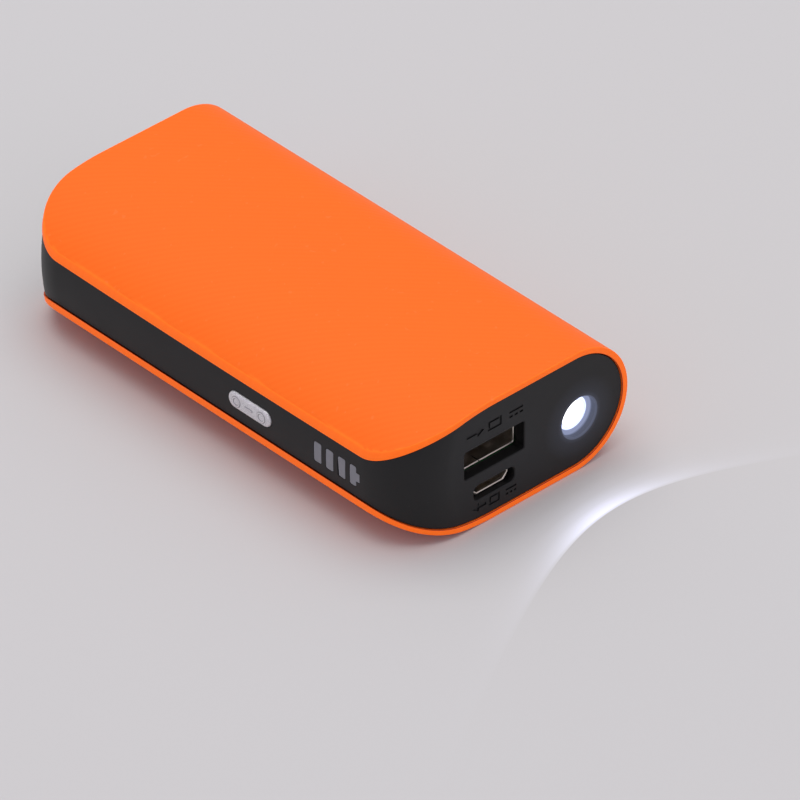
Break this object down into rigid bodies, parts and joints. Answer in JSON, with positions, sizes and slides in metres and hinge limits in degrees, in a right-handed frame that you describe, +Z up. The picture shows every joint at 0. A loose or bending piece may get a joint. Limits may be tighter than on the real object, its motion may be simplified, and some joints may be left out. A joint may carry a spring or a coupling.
{
  "type": "power bank",
  "caption": "Pocket power bank: orange wrap cover on a black frame, with USB-A and micro-USB ports, a torch, charge windows and a push button.",
  "frame": {"origin": "on the ground, in the middle of the outline", "axes": "+Z up, -Y towards the end with the ports and the torch, -X towards the side with the button and the charge windows"},
  "size_m": [0.0485, 0.092, 0.023],
  "materials": {
    "orange_cover": "soft-touch, very fine texture",
    "black_shell": "satin moulded plastic",
    "screw_steel": "zinc plated",
    "nickel": "rolled nickel strip",
    "lead_red": "satin insulation",
    "lead_black": "satin insulation",
    "foam": "open-cell foam",
    "card": "fibre card",
    "board": "green solder resist",
    "port_steel": "nickel-plated stamped steel",
    "port_insert": "moulded insert",
    "contact_gold": "gold plated",
    "chip_black": "moulded epoxy",
    "ferrite": "ferrite, satin",
    "ceramic_tan": "fired ceramic",
    "resistor_black": "glazed ceramic",
    "solder": "solder",
    "lamp_white": "white lamp body",
    "window_grey": "smoked translucent",
    "lens_clear": "clear, polished",
    "lamp_clear": "clear epoxy lamp",
    "button_silver": "plated, satin silver",
    "switch_black": "moulded",
    "cell_can": "bright drawn can",
    "cell_wrap": "shrink sleeve",
    "cell_card": "insulating ring"
  },
  "bodies": {
    "case": {"wrap_cover": "orange_cover", "inner_frame": "black_shell", "inner_lid": "black_shell", "lid_screws": "screw_steel", "nickel_strip_front": "nickel", "nickel_strip_rear": "nickel", "lead_positive": "lead_red", "lead_negative": "lead_black", "foam_strip": "foam", "foam_pad_rear": "foam", "insulator_card": "card", "main_board": "board", "usb_a_shell": "port_steel", "usb_a_tongue": "port_insert", "usb_a_contacts": "contact_gold", "micro_usb_shell": "port_steel", "micro_usb_tongue": "port_insert", "micro_usb_contacts": "contact_gold", "boost_chip": "chip_black", "charge_chip": "chip_black", "boost_inductor": "ferrite", "board_capacitors": "ceramic_tan", "board_resistors": "resistor_black", "solder_joints": "solder", "level_leds": "lamp_white", "level_light_guide": "window_grey", "light_blocker": "switch_black", "torch_lens": "lens_clear", "torch_led": "lamp_clear", "torch_led_legs": "solder", "switch_base": "switch_black", "switch_cover": "port_steel", "switch_dome": "port_steel", "cell_right_can": "cell_can", "cell_right_sleeve": "cell_wrap", "cell_right_ring": "cell_card", "cell_right_cap": "nickel", "cell_left_can": "cell_can", "cell_left_sleeve": "cell_wrap", "cell_left_ring": "cell_card", "cell_left_cap": "nickel"},
    "button": {"button_cap": "button_silver", "switch_stem": "switch_black"}
  },
  "joints": [
    {"name": "button_press", "type": "slide", "parent": "case", "child": "button", "axis": [1, 0, 0], "range_m": [0, 0.00025], "stiffness_N_per_m": 1000}
  ]
}
